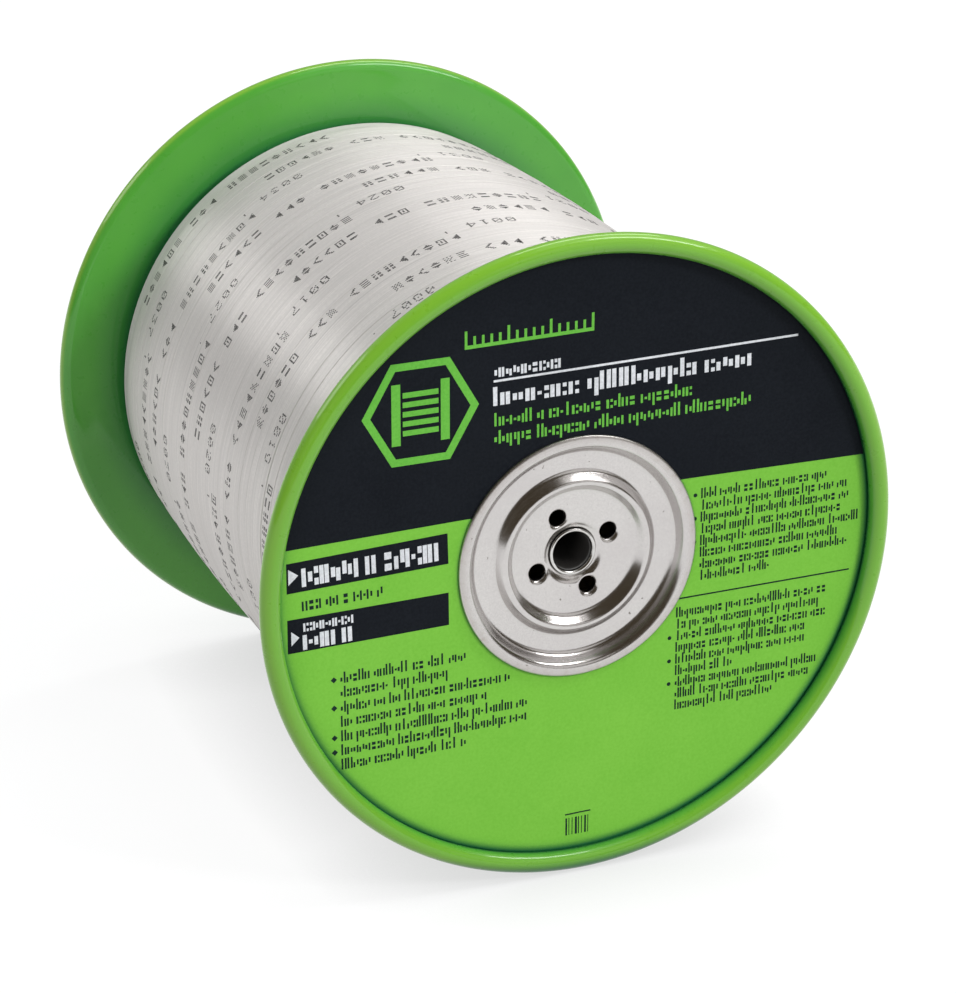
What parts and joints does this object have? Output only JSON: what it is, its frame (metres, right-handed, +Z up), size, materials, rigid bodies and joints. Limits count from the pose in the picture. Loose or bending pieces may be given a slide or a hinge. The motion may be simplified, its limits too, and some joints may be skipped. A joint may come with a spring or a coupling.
{
  "type": "fish tape reel",
  "caption": "Metal spool of flat polyester pulling and measuring tape, with curled-rim flanges, a printed label disc and pressed hub plates that turn on an arbor tube.",
  "frame": {"origin": "centre of the reel on its axis, halfway between the two flanges", "axes": "+Y along the reel's axis towards the plain rear flange, so the labelled front flange faces -Y; +Z up with the label upright; +X to the right seen from the front"},
  "size_m": [0.165, 0.167, 0.165],
  "materials": {
    "flange_paint": "gloss",
    "label_print": "satin",
    "plated_steel": "satin",
    "core_board": "matte",
    "arbor_steel": "satin",
    "polyester_tape": "satin",
    "adhesive_tab": "matte"
  },
  "bodies": {
    "arbor": {"arbor_tube": "arbor_steel"},
    "reel": {"front_flange": "flange_paint", "front_label": "label_print", "front_hub_plate": "plated_steel", "rear_flange": "flange_paint", "rear_hub_plate": "plated_steel", "core_tube": "core_board", "tape_pack": "polyester_tape", "tape_tail": "polyester_tape", "tail_tab": "adhesive_tab", "inner_tab": "adhesive_tab"}
  },
  "joints": [
    {"name": "reel_spin", "type": "hinge", "parent": "arbor", "child": "reel", "pos_m": [0, 0, 0], "axis": [0, 1, 0], "continuous": true}
  ]
}
